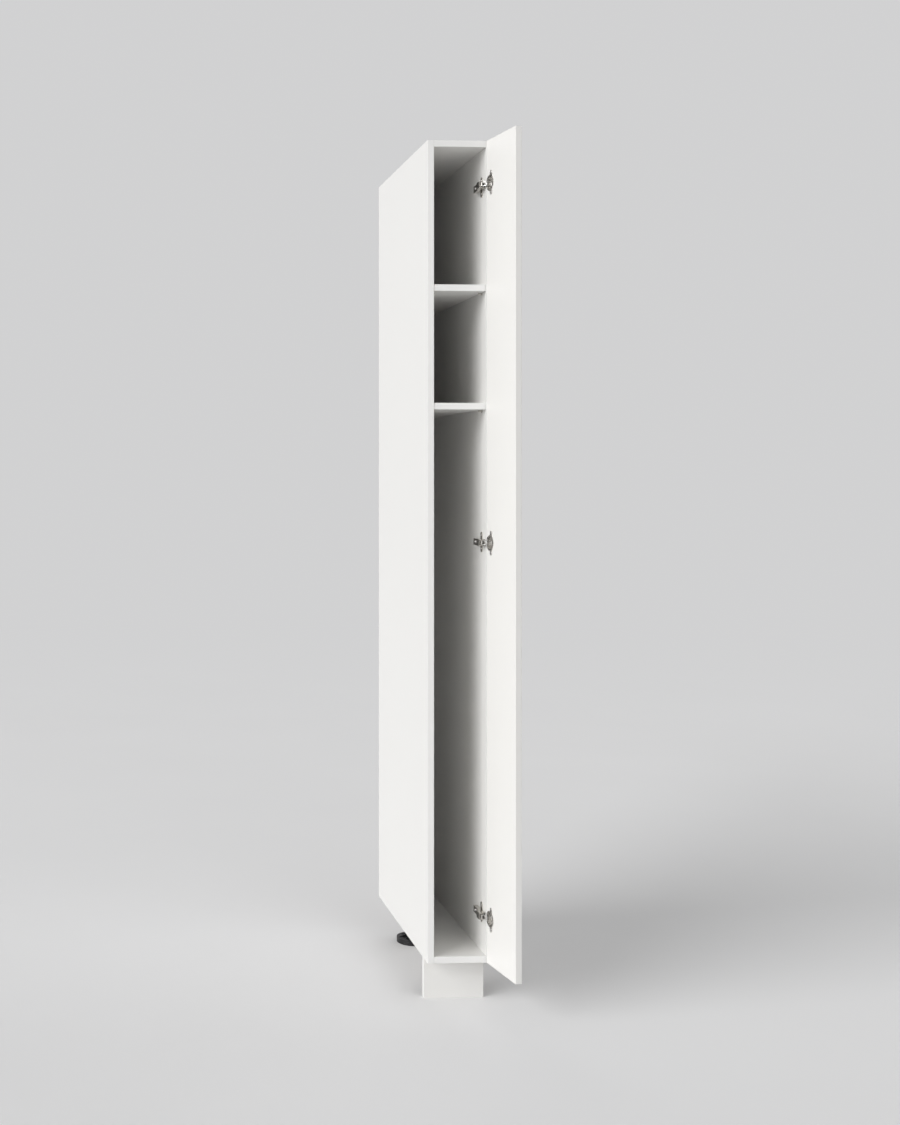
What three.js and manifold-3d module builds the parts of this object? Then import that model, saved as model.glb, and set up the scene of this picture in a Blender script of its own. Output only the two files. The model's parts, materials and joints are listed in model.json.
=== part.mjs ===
// Broom cupboard: a tall narrow carcass with one door on three concealed two-link hinges.
// Millimetres. +X points right and +Y back as seen from the front, +Z is up.
// The pieces are drawn with the door shut. The links and the door are then turned to the open rest pose.
import * as THREE from 'three';
import { mergeVertices } from 'three/addons/utils/BufferGeometryUtils.js';
import Module from 'manifold-3d';

const wasm = await Module();
wasm.setup();

// Carcass boards
const WIDTH = 160;
const DEPTH = 580;
const CARCASS_HEIGHT = 2000;
const BOARD = 16;
const BOARD_FIT = 0.05;
const EDGE_ROUND = 1;

// Back panel, which slides in grooves
const BACK = 3;
const BACK_INSET = 18;
const GROOVE_DEPTH = 8;
const GROOVE_FIT = 0.2;

// Shelves, measured down from the top of the carcass and from shelf to shelf
const UPPER_SHELF_DROP = 350;
const SHELF_SPACING = 288;
const SHELF_SIDE_FIT = 0.5;
const SHELF_SETBACK = 2;
const SHELF_BACK_FIT = 2;

// Shelf pins
const SHELF_PIN_RADIUS = 2.5;
const SHELF_PIN_FIT = 0.1;
const SHELF_PIN_IN = 9;
const SHELF_PIN_OUT = 8;
const SHELF_PIN_COLLAR = 1.5;
const SHELF_PIN_COLLAR_RADIUS = 4;
const SHELF_PIN_EDGE = 37;

// Cam fittings that hold the top and bottom panels to the sides
const CAM_RADIUS = 7.5;
const CAM_FIT = 0.15;
const CAM_DEPTH = 12.5;
const CAM_FROM_END = 34;
const CAM_FRONT = 60;
const CAM_REAR = 470;
const CAM_RECESS = 2;
const CAM_CROSS = 1.4;
const CAM_CROSS_LENGTH = 8;
const BOLT_BORE_RADIUS = 4;
const BOLT_SHANK_RADIUS = 3;
const BOLT_NECK_RADIUS = 2.2;
const BOLT_NECK = 5;
const BOLT_HEAD_RADIUS = 3.5;
const BOLT_HEAD = 3;
const BOLT_THREAD_RADIUS = 2.4;
const BOLT_THREAD = 11;
const BOLT_FIT = 0.15;

// Door
const DOOR_THICKNESS = 16;
const DOOR_GAP = 2;
const DOOR_REVEAL = 1.5;
const HINGE_OVERLAY = 14.5;
const DOOR_OPEN_DEGREES = 99;
const OUTER_LINK_RATIO = -0.12;
const INNER_LINK_RATIO = -0.85;

// Hinge heights: from the carcass's top and underside, and the middle one as a share of its height
const HINGE_FROM_TOP = 107;
const MIDDLE_HINGE_SHARE = 0.511;
const HINGE_FROM_BOTTOM = 113;

// Hinge pivots, measured from the door's hinge edge and its inner face
const OUTER_ARM_PIVOT_IN = 27.7;
const OUTER_ARM_PIVOT_BEHIND = 5.4;
const INNER_ARM_PIVOT_IN = 19.5;
const INNER_ARM_PIVOT_BEHIND = 15;
const CUP_PIVOT_IN = 6.8;
const OUTER_CUP_PIVOT_DEEP = 3.9;
const INNER_CUP_PIVOT_DEEP = 8.5;
const ARM_RIVET_RADIUS = 1;
const OUTER_CUP_PIN_RADIUS = 1.1;
const INNER_CUP_PIN_RADIUS = 0.9;
const PIVOT_FIT = 0.25;
const OPEN_PIVOT_FIT = 1.25;
const OPEN_EYE_WALL = 0.9;
const OPEN_EYE_ACROSS = -0.8;
const OPEN_EYE_BACK = 0.6;

// Hinge links, half widths are along the pivots
const OUTER_LINK_HALF = 4.9;
const OUTER_LINK_SHEET = 1;
const INNER_LINK_HALF = 3;
const OUTER_LINK_BAND = 3;
const INNER_LINK_BAND = 2.3;
const LINK_WEB = 1.2;
const ARM_EYE_RADIUS = 2.5;
const OUTER_CUP_EYE_RADIUS = 1.9;
const EYE_FIT = 0.3;

// Hinge cup
const CUP_RADIUS = 17.5;
const CUP_EDGE = 3;
const CUP_FIT = 0.2;
const CUP_BORE_DEPTH = 12.5;
const CUP_WALL = 1;
const CUP_SEAT = 0.3;
const CUP_FLANGE = 1.2;
const CUP_FLANGE_LIP = 2;
const CUP_FLANGE_EDGE = 2.5;
const CUP_SCREW_HALF = 24;
const CUP_SCREW_OFFSET = 6;
const CUP_SCREW_LUG = 5.5;
const CUP_SCREW_RADIUS = 2;
const CUP_EAR = 1;
const CUP_EAR_GAP = 0.3;
const CUP_EAR_SPAN = 4;

// Hinge arm
const ARM_HALF = 8;
const ARM_SHEET = 1.2;
const ARM_NOSE = 3.2;
const ARM_CROWN = 4.4;
const ARM_TOE = 2.8;
const ARM_SHOULDER = 18;
const ARM_SLOPE = 10;
const ARM_LOW_CROWN = 12.2;
const ARM_LENGTH = 66;
const ARM_SLOT_RADIUS = 2.6;
const ARM_SLOT_LENGTH = 7;
const ARM_SCREW_BACK = 46;
const ARM_SCREW_RADIUS = 2.2;
const ARM_ADJUSTER_BACK = 25;
const ARM_RIVET_HEAD = 0.5;

// Hinge mounting plate
const PLATE_SCREWS_BACK = 37;
const PLATE_BASE = 2;
const PLATE_WING_HALF = 25;
const PLATE_WING_WIDTH = 15;
const PLATE_SCREW_HALF = 16;
const PLATE_SCREW_RADIUS = 2.2;
const PLATE_SPINE_HALF = 6.4;
const PLATE_SPINE_AHEAD = 12.4;
const PLATE_SPINE_LENGTH = 45;
const PLATE_SPINE_ROUND = 2.6;
const PLATE_SEAT = 0.3;

// Plinth board, and the clip that holds it on the front leg
const CARCASS_LIFT = 106;
const PLINTH_BOARD = 16;
const PLINTH_RECESS = 62;
const PLINTH_SIDE_INSET = 5;
const PLINTH_TOP_GAP = 1;
const CLIP_HEIGHT = 24;
const CLIP_AT = 46;
const CLIP_WALL = 3;
const CLIP_BASE = 3;
const CLIP_BASE_HALF = 19;
const CLIP_FIT = 0.3;
const CLIP_MOUTH_DEGREES = 55;
const CLIP_NECK_HALF = 6;

// Levelling legs
const REAR_LEG_BACK = 506;
const LEG_TO_PLINTH = 2;
const FOOT_RADIUS = 44;
const FOOT_SKIRT = 14;
const FOOT_WALL = 3;
const FOOT_ROOF = 3;
const FOOT_CROWN = 20;
const FOOT_HUB_RADIUS = 13;
const FOOT_HUB_TOP = 58;
const FOOT_CHAMFER = 1.5;
const FOOT_RIBS = 8;
const FOOT_RIB = 2.4;
const FOOT_RIB_RISE = 3;
const COLUMN_RADIUS = 17;
const COLUMN_COLLAR_RADIUS = 20;
const COLUMN_COLLAR = 8;
const COLUMN_BOTTOM = 30;
const COLUMN_BORE_TOP = 72;
const COLUMN_FIT = 0.3;
const SOCKET_FLANGE_RADIUS = 38;
const SOCKET_FLANGE = 3;
const SOCKET_WALL = 4;
const SOCKET_HEIGHT = 22;
const SOCKET_SCREW_RADIUS = 2.2;
const SOCKET_SCREWS = 4;

// Overrun of every cut, and the number of sides on round forms
const OVERRUN = 1;
const CUP_SIDES = 24;
const CAM_SIDES = 12;
const LEG_SIDES = 24;
const PIN_SIDES = 10;
const FITTING_SIDES = 8;
const BOARD_ARC_STEPS = 1;
const CLIP_ARC_STEPS = 10;
const ARC_STEPS = 2;
const BAND_STEPS = 8;
const END_STEPS = 3;
const RIGHT_ANGLE = Math.PI / 2;

// Places that follow from the sizes
const INNER_LEFT = BOARD;
const INNER_RIGHT = WIDTH - BOARD;
const INNER_MIDDLE = (INNER_LEFT + INNER_RIGHT) / 2;
const CARCASS_BOTTOM = CARCASS_LIFT;
const CARCASS_TOP = CARCASS_BOTTOM + CARCASS_HEIGHT;
const BACK_FRONT_FACE = DEPTH - BACK_INSET - BACK;
const DOOR_EDGE = INNER_RIGHT + HINGE_OVERLAY;
const DOOR_INNER_FACE = -DOOR_GAP;
const HINGE_HEIGHTS = {
  top: CARCASS_TOP - HINGE_FROM_TOP,
  middle: CARCASS_BOTTOM + MIDDLE_HINGE_SHARE * CARCASS_HEIGHT,
  bottom: CARCASS_BOTTOM + HINGE_FROM_BOTTOM,
};
const point = (x, y) => new THREE.Vector2(x, y);
const OUTER_ARM_PIVOT = point(DOOR_EDGE - OUTER_ARM_PIVOT_IN, DOOR_INNER_FACE + OUTER_ARM_PIVOT_BEHIND);
const INNER_ARM_PIVOT = point(DOOR_EDGE - INNER_ARM_PIVOT_IN, DOOR_INNER_FACE + INNER_ARM_PIVOT_BEHIND);
const OPEN_EYE = point(INNER_ARM_PIVOT.x + OPEN_EYE_ACROSS, INNER_ARM_PIVOT.y + OPEN_EYE_BACK);
const OUTER_CUP_PIVOT = point(DOOR_EDGE - CUP_PIVOT_IN, DOOR_INNER_FACE - OUTER_CUP_PIVOT_DEEP);
const INNER_CUP_PIVOT = point(DOOR_EDGE - CUP_PIVOT_IN, DOOR_INNER_FACE - INNER_CUP_PIVOT_DEEP);
const DOOR_TURN = THREE.MathUtils.degToRad(DOOR_OPEN_DEGREES) / (1 + OUTER_LINK_RATIO);
const CUP_CENTRE = point(DOOR_EDGE - CUP_EDGE - CUP_RADIUS, DOOR_INNER_FACE);
const EAR_INNER = OUTER_LINK_HALF + CUP_EAR_GAP;
const EAR_OUTER = EAR_INNER + CUP_EAR;
const FRONT_LEG_BACK = PLINTH_RECESS + PLINTH_BOARD + LEG_TO_PLINTH + FOOT_RADIUS;

// Materials
const material = (color, roughness, metalness) =>
  new THREE.MeshStandardMaterial({ color, roughness, metalness });
const WHITE = material(0xeeece7, 0.45, 0);
const DOOR_WHITE = material(0xf1efea, 0.35, 0);
const BACK_WHITE = material(0xe4e2dc, 0.6, 0);
const NICKEL = material(0xb9b8b4, 0.3, 0.9);
const ZINC = material(0x9fa09f, 0.4, 0.85);
const BLACK_PLASTIC = material(0x1b1b1c, 0.55, 0);

// Turns a closed three.js geometry into a solid for cutting and joining.
function solid(geometry) {
  geometry.deleteAttribute('normal');
  geometry.deleteAttribute('uv');
  const merged = mergeVertices(geometry);
  return new wasm.Manifold(new wasm.Mesh({
    numProp: 3,
    vertProperties: merged.attributes.position.array,
    triVerts: Uint32Array.from(merged.index.array),
  }));
}

const join = (...solids) => solids.reduce((whole, next) => whole.add(next));
const cut = (whole, ...tools) => tools.reduce((left, tool) => left.subtract(tool), whole);

function meshGeometry(body) {
  const mesh = body.getMesh();
  const geometry = new THREE.BufferGeometry();
  geometry.setAttribute('position', new THREE.BufferAttribute(mesh.vertProperties, 3));
  geometry.setIndex(new THREE.BufferAttribute(mesh.triVerts, 1));
  geometry.computeVertexNormals();
  return geometry;
}

// Prisms: a shape drawn in two world axes, pushed along the third between two places.
function extrude(shape, length, steps = ARC_STEPS) {
  return new THREE.ExtrudeGeometry(shape, { depth: length, bevelEnabled: false, curveSegments: steps });
}

const prismZ = (shape, from, to, steps) => solid(extrude(shape, to - from, steps).translate(0, 0, from));

// The shape's axes are world X and Z.
const prismY = (shape, from, to) => solid(
  extrude(shape, to - from).rotateX(RIGHT_ANGLE).translate(0, to, 0));

// The shape's axes are world Y and Z.
function prismX(shape, from, to, steps) {
  const turn = new THREE.Matrix4().makeBasis(
    new THREE.Vector3(0, 1, 0),
    new THREE.Vector3(0, 0, 1),
    new THREE.Vector3(1, 0, 0),
  );
  return solid(extrude(shape, to - from, steps).applyMatrix4(turn).translate(from, 0, 0));
}

function rectangle(left, low, right, high) {
  return new THREE.Shape([point(left, low), point(right, low), point(right, high), point(left, high)]);
}

function rounded(left, low, right, high, radius) {
  const shape = new THREE.Shape();
  shape.absarc(left + radius, low + radius, radius, Math.PI, 3 * RIGHT_ANGLE);
  shape.absarc(right - radius, low + radius, radius, 3 * RIGHT_ANGLE, 4 * RIGHT_ANGLE);
  shape.absarc(right - radius, high - radius, radius, 0, RIGHT_ANGLE);
  shape.absarc(left + radius, high - radius, radius, RIGHT_ANGLE, Math.PI);
  return shape;
}

const box = (low, high) => prismZ(rectangle(low.x, low.y, high.x, high.y), low.z, high.z);
const at = (x, y, z) => new THREE.Vector3(x, y, z);

// Round bars along each axis, between two places.
const barZ = (centre, radius, from, to, sides) => solid(
  new THREE.CylinderGeometry(radius, radius, to - from, sides)
    .rotateX(RIGHT_ANGLE).translate(centre.x, centre.y, (from + to) / 2));
const barX = (y, z, radius, from, to, sides) => solid(
  new THREE.CylinderGeometry(radius, radius, to - from, sides)
    .rotateZ(RIGHT_ANGLE).translate((from + to) / 2, y, z));
const barY = (x, z, radius, from, to, sides) => solid(
  new THREE.CylinderGeometry(radius, radius, to - from, sides).translate(x, (from + to) / 2, z));

// A revolved solid about +Z, from [radius, height] pairs that start and end on the axis.
function revolve(profile, sides) {
  const points = profile.map(([radius, height]) => point(radius, height));
  return solid(new THREE.LatheGeometry(points, sides).rotateX(RIGHT_ANGLE));
}

// Carcass

function backGroove(from, to) {
  return box(
    at(from.x, BACK_FRONT_FACE - GROOVE_FIT, from.z),
    at(to.x, BACK_FRONT_FACE + BACK + GROOVE_FIT, to.z),
  );
}

const UPPER_SHELF_TOP = CARCASS_TOP - UPPER_SHELF_DROP;
const shelfTops = { upper: UPPER_SHELF_TOP, lower: UPPER_SHELF_TOP - SHELF_SPACING };
const shelfPinZ = (top) => top - BOARD - SHELF_PIN_RADIUS - BOARD_FIT;
const shelfPinRows = { front: SHELF_PIN_EDGE, rear: BACK_FRONT_FACE - SHELF_PIN_EDGE };
const camRows = { front: CAM_FRONT, rear: CAM_REAR };
const camPanels = {
  top: { low: CARCASS_TOP - BOARD, face: CARCASS_TOP, into: -1 },
  bottom: { low: CARCASS_BOTTOM, face: CARCASS_BOTTOM, into: 1 },
};
const panelMiddle = (panel) => panel.low + BOARD / 2;

// hand is -1 for the left side and 1 for the right side; inner is the X of its inner face.
const sides = {
  left: { hand: -1, inner: INNER_LEFT, outer: 0 },
  right: { hand: 1, inner: INNER_RIGHT, outer: WIDTH },
};
const ordered = (a, b) => [Math.min(a, b), Math.max(a, b)];

function blindHole(side, y, z, radius, depth) {
  const [from, to] = ordered(side.inner - side.hand * OVERRUN, side.inner + side.hand * depth);
  return barX(y, z, radius, from, to, FITTING_SIDES);
}

function sidePanel(side) {
  const [left, right] = ordered(side.inner, side.outer);
  const section = rounded(left, 0, right, DEPTH, EDGE_ROUND);
  const board = prismZ(section, CARCASS_BOTTOM, CARCASS_TOP, BOARD_ARC_STEPS);
  const [from, to] = ordered(side.inner - side.hand * OVERRUN, side.inner + side.hand * GROOVE_DEPTH);
  const tools = [backGroove(at(from, 0, CARCASS_BOTTOM - OVERRUN), at(to, 0, CARCASS_TOP + OVERRUN))];
  const pinHole = SHELF_PIN_IN + OVERRUN;
  const boltHole = BOLT_THREAD + OVERRUN;
  for (const top of Object.values(shelfTops)) {
    for (const y of Object.values(shelfPinRows)) {
      tools.push(blindHole(side, y, shelfPinZ(top), SHELF_PIN_RADIUS + SHELF_PIN_FIT, pinHole));
    }
  }
  for (const panel of Object.values(camPanels)) {
    for (const y of Object.values(camRows)) {
      tools.push(blindHole(side, y, panelMiddle(panel), BOLT_THREAD_RADIUS + BOLT_FIT, boltHole));
    }
  }
  return cut(board, ...tools);
}

const camX = (side) => side.inner - side.hand * CAM_FROM_END;

function camPanel(panel) {
  const section = rounded(0, panel.low, DEPTH, panel.low + BOARD, EDGE_ROUND);
  const board = prismX(section, INNER_LEFT + BOARD_FIT, INNER_RIGHT - BOARD_FIT, BOARD_ARC_STEPS);
  const inside = panel.face + panel.into * BOARD;
  const [low, high] = ordered(inside + panel.into * OVERRUN, inside - panel.into * GROOVE_DEPTH);
  const tools = [backGroove(at(INNER_LEFT, 0, low), at(INNER_RIGHT, 0, high))];
  for (const side of Object.values(sides)) {
    for (const y of Object.values(camRows)) {
      const [from, to] = ordered(panel.face - panel.into * OVERRUN, panel.face + panel.into * CAM_DEPTH);
      tools.push(barZ(point(camX(side), y), CAM_RADIUS, from, to, CAM_SIDES));
      const [left, right] = ordered(side.inner, camX(side));
      tools.push(barX(y, panelMiddle(panel), BOLT_BORE_RADIUS, left, right, FITTING_SIDES));
    }
  }
  return cut(board, ...tools);
}

// A cam: a drum with a side mouth for the bolt's head and a cross recess on its face.
function cam(side, panel, y) {
  const centre = point(camX(side), y);
  const deep = panel.face + panel.into * (CAM_DEPTH - CAM_FIT);
  const [low, high] = ordered(panel.face, deep);
  const drum = barZ(centre, CAM_RADIUS - CAM_FIT, low, high, CAM_SIDES);
  const mouthEnd = camX(side) - side.hand * BOLT_HEAD_RADIUS;
  const [left, right] = ordered(mouthEnd, side.inner);
  const mouth = barX(y, panelMiddle(panel), BOLT_BORE_RADIUS, left, right, FITTING_SIDES);
  const [under, over] = ordered(panel.face - panel.into * OVERRUN, panel.face + panel.into * CAM_RECESS);
  const long = CAM_CROSS_LENGTH / 2;
  const slim = CAM_CROSS / 2;
  const bars = [[long, slim], [slim, long]].map(([halfX, halfY]) => box(
    at(centre.x - halfX, y - halfY, under),
    at(centre.x + halfX, y + halfY, over),
  ));
  return cut(drum, mouth, ...bars);
}

function camBolt(side, panel, y) {
  const start = -BOLT_THREAD;
  const headEnd = CAM_FROM_END + BOLT_HEAD / 2;
  const neckStart = headEnd - BOLT_HEAD - BOLT_NECK;
  const profile = [
    [0, start],
    [BOLT_THREAD_RADIUS, start],
    [BOLT_THREAD_RADIUS, BOARD_FIT],
    [BOLT_SHANK_RADIUS, BOARD_FIT],
    [BOLT_SHANK_RADIUS, neckStart],
    [BOLT_NECK_RADIUS, neckStart],
    [BOLT_NECK_RADIUS, headEnd - BOLT_HEAD],
    [BOLT_HEAD_RADIUS, headEnd - BOLT_HEAD],
    [BOLT_HEAD_RADIUS, headEnd],
    [0, headEnd],
  ];
  const points = profile.map(([radius, along]) => point(radius, along));
  const turned = new THREE.LatheGeometry(points, FITTING_SIDES).rotateZ(side.hand * RIGHT_ANGLE);
  return solid(turned.translate(side.inner, y, panelMiddle(panel)));
}

function backPanel() {
  const reach = GROOVE_DEPTH - GROOVE_FIT;
  return box(
    at(INNER_LEFT - reach, BACK_FRONT_FACE, CARCASS_BOTTOM + BOARD - reach),
    at(INNER_RIGHT + reach, BACK_FRONT_FACE + BACK, CARCASS_TOP - BOARD + reach),
  );
}

function shelf(top) {
  const section = rounded(SHELF_SETBACK, top - BOARD, BACK_FRONT_FACE - SHELF_BACK_FIT, top, EDGE_ROUND);
  return prismX(section, INNER_LEFT + SHELF_SIDE_FIT, INNER_RIGHT - SHELF_SIDE_FIT, BOARD_ARC_STEPS);
}

// A shelf pin: a plug in the side, a collar against it and a peg that carries the shelf.
function shelfPin(side) {
  const peg = SHELF_PIN_COLLAR + SHELF_PIN_OUT;
  const profile = [
    [0, -SHELF_PIN_IN],
    [SHELF_PIN_RADIUS, -SHELF_PIN_IN],
    [SHELF_PIN_RADIUS, BOARD_FIT],
    [SHELF_PIN_COLLAR_RADIUS, BOARD_FIT],
    [SHELF_PIN_COLLAR_RADIUS, SHELF_PIN_COLLAR],
    [SHELF_PIN_RADIUS, SHELF_PIN_COLLAR],
    [SHELF_PIN_RADIUS, peg],
    [0, peg],
  ];
  const points = profile.map(([radius, along]) => point(radius, along));
  const turned = solid(new THREE.LatheGeometry(points, FITTING_SIDES).rotateZ(side.hand * RIGHT_ANGLE));
  const reach = SHELF_PIN_COLLAR_RADIUS + OVERRUN;
  const [left, right] = ordered(OVERRUN * side.hand, -side.hand * (peg + OVERRUN));
  const shelfSpace = box(at(left, -reach, SHELF_PIN_RADIUS), at(right, reach, reach));
  return cut(turned, shelfSpace);
}

// Hinges, drawn about height zero

// A bent strip of even width: its centre line is a smooth curve, and its ends are round.
function band(route, width) {
  const curve = new THREE.SplineCurve(route);
  const half = width / 2;
  const near = [];
  const far = [];
  for (let step = 0; step <= BAND_STEPS; step += 1) {
    const here = curve.getPoint(step / BAND_STEPS);
    const along = curve.getTangent(step / BAND_STEPS);
    near.push(point(here.x + along.y * half, here.y - along.x * half));
    far.unshift(point(here.x - along.y * half, here.y + along.x * half));
  }
  const cap = (centre, from) => {
    const start = Math.atan2(from.y - centre.y, from.x - centre.x);
    const turns = Array.from({ length: END_STEPS - 1 }, (_, i) => start + Math.PI * (i + 1) / END_STEPS);
    return turns.map((turn) => point(centre.x + half * Math.cos(turn), centre.y + half * Math.sin(turn)));
  };
  const endCap = cap(route[route.length - 1], near[near.length - 1]);
  const startCap = cap(route[0], far[far.length - 1]);
  return new THREE.Shape([...near, ...endCap, ...far, ...startCap]);
}

// Shares of the way from the arm's pivot to the cup's pivot, across and along the depth
const OUTER_ROUTE_SHARES = [[0.07, 0.4], [0.22, 0.806], [0.517, 1.269], [0.766, 1.28]];
const INNER_ROUTE_SHARES = [
  [-0.1, 0.28], [-0.17, 0.55], [-0.17, 0.82], [-0.02, 0.99], [0.2, 1.045], [0.5, 1.03],
];
const WEB_ROUTE_SHARES = [[0.03, 0.28], [0.08, 0.5], [0.15, 0.72]];

function routePoints(from, to, shares) {
  return shares.map(([across, deep]) => point(
    THREE.MathUtils.lerp(from.x, to.x, across),
    THREE.MathUtils.lerp(from.y, to.y, deep),
  ));
}

const hingeBar = (centre, radius, from, to) => barZ(centre, radius, from, to, PIN_SIDES);

// The outer link: two bent cheeks, a web that joins them, and a pin stub on each side of the cup's end.
function outerLink() {
  const inner = OUTER_LINK_HALF - OUTER_LINK_SHEET;
  const route = [
    OUTER_ARM_PIVOT,
    ...routePoints(OUTER_ARM_PIVOT, OUTER_CUP_PIVOT, OUTER_ROUTE_SHARES),
    OUTER_CUP_PIVOT,
  ];
  const strip = band(route, OUTER_LINK_BAND);
  const web = band(routePoints(OUTER_ARM_PIVOT, OUTER_CUP_PIVOT, WEB_ROUTE_SHARES), LINK_WEB);
  const pieces = [prismZ(web, -inner - OUTER_LINK_SHEET / 2, inner + OUTER_LINK_SHEET / 2)];
  for (const [from, to, pinTo] of [
    [inner, OUTER_LINK_HALF, EAR_OUTER],
    [-OUTER_LINK_HALF, -inner, -EAR_OUTER],
  ]) {
    pieces.push(prismZ(strip, from, to));
    pieces.push(hingeBar(OUTER_ARM_PIVOT, ARM_EYE_RADIUS, from, to));
    pieces.push(hingeBar(OUTER_CUP_PIVOT, OUTER_CUP_EYE_RADIUS, from, to));
    const [low, high] = ordered((from + to) / 2, pinTo);
    pieces.push(hingeBar(OUTER_CUP_PIVOT, OUTER_CUP_PIN_RADIUS, low, high));
  }
  const reach = OUTER_LINK_HALF + OVERRUN;
  return cut(join(...pieces), hingeBar(OUTER_ARM_PIVOT, ARM_RIVET_RADIUS + PIVOT_FIT, -reach, reach));
}

// The inner link: one bent strip with a cross pin in the cup's ears and a roomy eye round the arm's rivet.
function innerLink() {
  const route = [
    OPEN_EYE,
    ...routePoints(INNER_ARM_PIVOT, INNER_CUP_PIVOT, INNER_ROUTE_SHARES),
    INNER_CUP_PIVOT,
  ];
  const strip = prismZ(band(route, INNER_LINK_BAND), -INNER_LINK_HALF, INNER_LINK_HALF);
  const room = ARM_RIVET_RADIUS + OPEN_PIVOT_FIT;
  const eye = hingeBar(OPEN_EYE, room + OPEN_EYE_WALL, -INNER_LINK_HALF, INNER_LINK_HALF);
  const pin = hingeBar(INNER_CUP_PIVOT, INNER_CUP_PIN_RADIUS, -EAR_OUTER, EAR_OUTER);
  const reach = INNER_LINK_HALF + OVERRUN;
  return cut(join(strip, eye, pin), hingeBar(OPEN_EYE, room, -reach, reach));
}

// The cup: a pressed pot with a screw flange, and two ears beside the door's edge that hold the pivots.
function hingeCup() {
  const seat = DOOR_INNER_FACE + CUP_SEAT;
  const rim = seat + CUP_FLANGE;
  const bottom = DOOR_INNER_FACE - CUP_BORE_DEPTH + CUP_SEAT;
  const floor = bottom + CUP_WALL;
  const potRadius = CUP_RADIUS - CUP_FIT;
  const { x: centreX } = CUP_CENTRE;
  const disc = barY(centreX, 0, CUP_RADIUS + CUP_FLANGE_LIP, seat, rim, CUP_SIDES);
  const lugX = centreX - CUP_SCREW_OFFSET;
  const lugEnd = CUP_SCREW_HALF + CUP_SCREW_LUG;
  const lugShape = rounded(lugX - CUP_SCREW_LUG, -lugEnd, lugX + CUP_SCREW_LUG, lugEnd, CUP_SCREW_LUG);
  const pot = barY(centreX, 0, potRadius, bottom, rim, CUP_SIDES);
  const pocket = barY(centreX, 0, potRadius - CUP_WALL, floor, rim + OVERRUN, CUP_SIDES);
  const edge = DOOR_EDGE - CUP_FLANGE_EDGE;
  const beyond = box(at(edge, seat, -CUP_RADIUS), at(DOOR_EDGE + OVERRUN, rim + OVERRUN, CUP_RADIUS));
  const shell = cut(join(cut(join(disc, prismY(lugShape, seat, rim)), beyond), pot), pocket);
  const earFar = OUTER_CUP_PIVOT.x - CUP_EAR_SPAN;
  const ears = [[EAR_INNER, EAR_OUTER], [-EAR_OUTER, -EAR_INNER]].map(([from, to]) => box(
    at(earFar, floor - CUP_WALL / 2, from),
    at(DOOR_EDGE - CUP_EDGE - CUP_FIT, seat, to),
  ));
  const body = barY(centreX, 0, potRadius, bottom, rim, CUP_SIDES);
  const kept = ears.map((ear) => ear.intersect(body));
  const screws = [-CUP_SCREW_HALF, CUP_SCREW_HALF].map((z) =>
    barY(lugX, z, CUP_SCREW_RADIUS, seat - OVERRUN, rim + OVERRUN, PIN_SIDES));
  const pinReach = EAR_OUTER + CUP_EAR_GAP;
  return cut(
    join(shell, ...kept),
    ...screws,
    hingeBar(OUTER_CUP_PIVOT, OUTER_CUP_EYE_RADIUS + EYE_FIT, -EAR_INNER, EAR_INNER),
    hingeBar(OUTER_CUP_PIVOT, OUTER_CUP_PIN_RADIUS + PIVOT_FIT, -pinReach, pinReach),
    hingeBar(INNER_CUP_PIVOT, INNER_CUP_PIN_RADIUS + PIVOT_FIT, -pinReach, pinReach),
  );
}

// The arm: a folded channel over the mounting plate, with the two rivets that carry the links.
function hingeArm() {
  const crown = OUTER_ARM_PIVOT.x - ARM_CROWN;
  const front = OUTER_ARM_PIVOT.y - ARM_NOSE;
  const rear = OUTER_ARM_PIVOT.y + ARM_LENGTH;
  const shoulder = OUTER_ARM_PIVOT.y + ARM_SHOULDER;
  const toeEnd = INNER_ARM_PIVOT.y + ARM_TOE;
  const low = INNER_RIGHT - ARM_LOW_CROWN;
  const foot = INNER_RIGHT - PLATE_BASE - PLATE_SEAT;
  const toe = INNER_ARM_PIVOT.x + ARM_TOE;
  const outline = (push, ahead) => new THREE.Shape([
    point(crown + push, front - ahead),
    point(toe + ahead, front - ahead),
    point(toe + ahead, toeEnd),
    point(foot + ahead, toeEnd + ARM_TOE),
    point(foot + ahead, rear + ahead),
    point(low + push, rear + ahead),
    point(low + push, shoulder + ARM_SLOPE),
    point(crown + push, shoulder),
  ]);
  const channel = cut(
    prismZ(outline(0, 0), -ARM_HALF, ARM_HALF),
    prismZ(outline(ARM_SHEET, OVERRUN), ARM_SHEET - ARM_HALF, ARM_HALF - ARM_SHEET),
  );
  const rivetReach = ARM_HALF + ARM_RIVET_HEAD;
  const rivets = [OUTER_ARM_PIVOT, INNER_ARM_PIVOT].map((pivot) =>
    hingeBar(pivot, ARM_RIVET_RADIUS, -rivetReach, rivetReach));
  const screwY = OUTER_ARM_PIVOT.y + ARM_SCREW_BACK;
  const adjusterY = OUTER_ARM_PIVOT.y + ARM_ADJUSTER_BACK + ARM_SLOPE;
  const slotShape = rounded(
    screwY - ARM_SLOT_RADIUS,
    -ARM_SLOT_RADIUS,
    screwY + ARM_SLOT_LENGTH + ARM_SLOT_RADIUS,
    ARM_SLOT_RADIUS,
    ARM_SLOT_RADIUS,
  );
  return cut(
    join(channel, ...rivets),
    prismX(slotShape, low - OVERRUN, low + ARM_SHEET + OVERRUN),
    barX(adjusterY, 0, ARM_SCREW_RADIUS, low - OVERRUN, low + ARM_SHEET + OVERRUN, PIN_SIDES),
  );
}

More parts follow.
